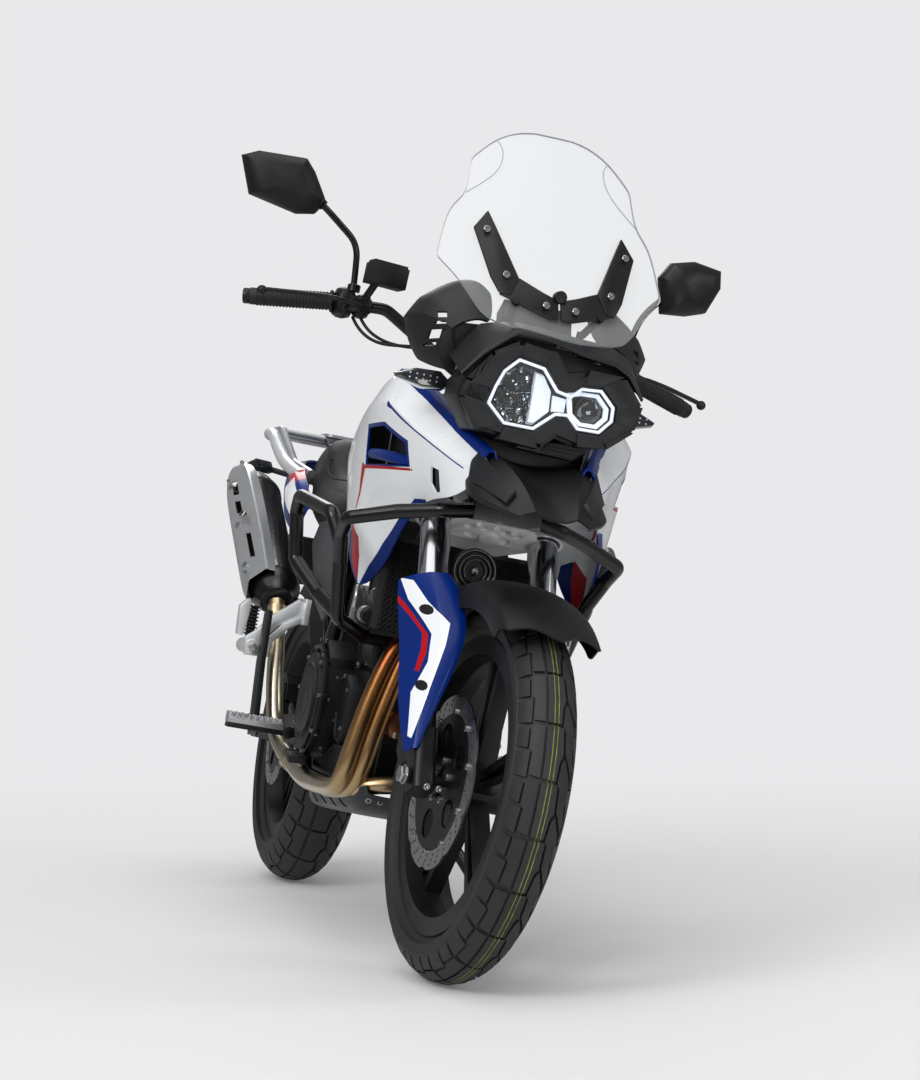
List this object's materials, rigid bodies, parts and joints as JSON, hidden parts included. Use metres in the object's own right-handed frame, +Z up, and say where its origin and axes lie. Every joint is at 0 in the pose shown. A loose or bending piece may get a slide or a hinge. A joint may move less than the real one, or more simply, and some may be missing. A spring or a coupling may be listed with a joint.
{
  "type": "adventure motorcycle",
  "caption": "Road-going adventure motorcycle with a tall clear screen, twin lamp, crash bars, cast wheels and rear rack, parked leaning on its side stand.",
  "frame": {"origin": "on the floor under the middle of the bounding box of the parked machine", "axes": "-Y is forward, +X is the rider's left and +Z is up; the machine leans to +X on its side stand with the bars turned a little left"},
  "size_m": [1.0228, 2.0719, 1.4684],
  "materials": {
    "tyre_rubber": "matte moulded",
    "black_cast_alloy": "satin black powder coat",
    "stainless_disc": "ground",
    "silver_alloy": "bead blasted",
    "black_steel_tube": "gloss black powder coat",
    "black_plastic": "fine grain moulded",
    "grey_plastic": "satin moulded",
    "white_bodywork": "gloss white paint",
    "blue_bodywork": "gloss blue paint",
    "clear_screen": "polished clear",
    "lamp_lens": "polished clear",
    "black_vinyl": "grained vinyl",
    "grip_rubber": "ribbed",
    "heated_steel": "heat tinted stainless",
    "chain_steel": "oiled",
    "tail_lens": "moulded red lens"
  },
  "bodies": {
    "chassis": {"beak": "black_plastic", "cockpit_cowl": "grey_plastic", "crash_bars": "black_steel_tube", "dashboard": "black_plastic", "drive_chain": "chain_steel", "engine": "black_cast_alloy", "exhaust_headers": "heated_steel", "fairing_stay": "black_steel_tube", "foot_controls": "black_cast_alloy", "frame": "black_steel_tube", "front_indicators": "black_plastic", "fuel_tank": "white_bodywork", "grab_rails": "silver_alloy", "headlight": "black_plastic", "headlight_lens": "lamp_lens", "muffler": "black_steel_tube", "muffler_shield": "silver_alloy", "passenger_pegs": "silver_alloy", "radiator": "black_cast_alloy", "rear_caliper": "black_cast_alloy", "rear_hugger": "black_plastic", "screen_bracket": "black_steel_tube", "seat": "black_vinyl", "shock": "black_steel_tube", "shrouds": "white_bodywork", "side_panels": "grey_plastic", "skid_plate": "black_cast_alloy", "subframe": "black_steel_tube", "swingarm": "black_cast_alloy", "tail_fairing": "blue_bodywork", "tail_light": "tail_lens", "windscreen": "clear_screen"},
    "steering": {"triple_clamps": "silver_alloy", "fork_tubes": "silver_alloy", "fork_lowers": "black_cast_alloy", "fork_guards": "blue_bodywork", "front_fender": "black_plastic", "front_caliper": "black_cast_alloy", "handlebar": "black_steel_tube", "grips": "grip_rubber", "hand_controls": "black_cast_alloy", "mirrors": "black_plastic"},
    "front_wheel": {"front_tyre": "tyre_rubber", "front_rim": "black_cast_alloy", "front_disc": "stainless_disc"},
    "rear_wheel": {"rear_tyre": "tyre_rubber", "rear_rim": "black_cast_alloy", "rear_disc": "stainless_disc", "rear_sprocket": "chain_steel"},
    "side_stand": {"side_stand": "black_steel_tube"},
    "fuel_cap": {"fuel_cap": "silver_alloy"}
  },
  "joints": [
    {"name": "steering_turn", "type": "hinge", "parent": "chassis", "child": "steering", "pos_m": [-0.099, -0.3958, 0.82985], "axis": [0.1616, 0.4452, 0.8807], "range_deg": [-40.6, 29.4]},
    {"name": "front_wheel_spin", "type": "hinge", "parent": "steering", "child": "front_wheel", "pos_m": [-0.18708, -0.70773, 0.32243], "axis": [0.971, 0.0876, -0.2224], "continuous": true},
    {"name": "rear_wheel_spin", "type": "hinge", "parent": "chassis", "child": "rear_wheel", "pos_m": [-0.19467, 0.72207, 0.30989], "axis": [0.9836, 0.0002, -0.1805], "continuous": true},
    {"name": "side_stand_fold", "type": "hinge", "parent": "chassis", "child": "side_stand", "pos_m": [-0.06762, 0.17918, 0.21489], "axis": [0.8334, -0.1711, 0.5255], "range_deg": [0, 98]},
    {"name": "fuel_cap_open", "type": "hinge", "parent": "chassis", "child": "fuel_cap", "pos_m": [-0.06895, -0.1347, 0.99388], "axis": [0.9836, 0.0002, -0.1805], "range_deg": [0, 95]}
  ]
}
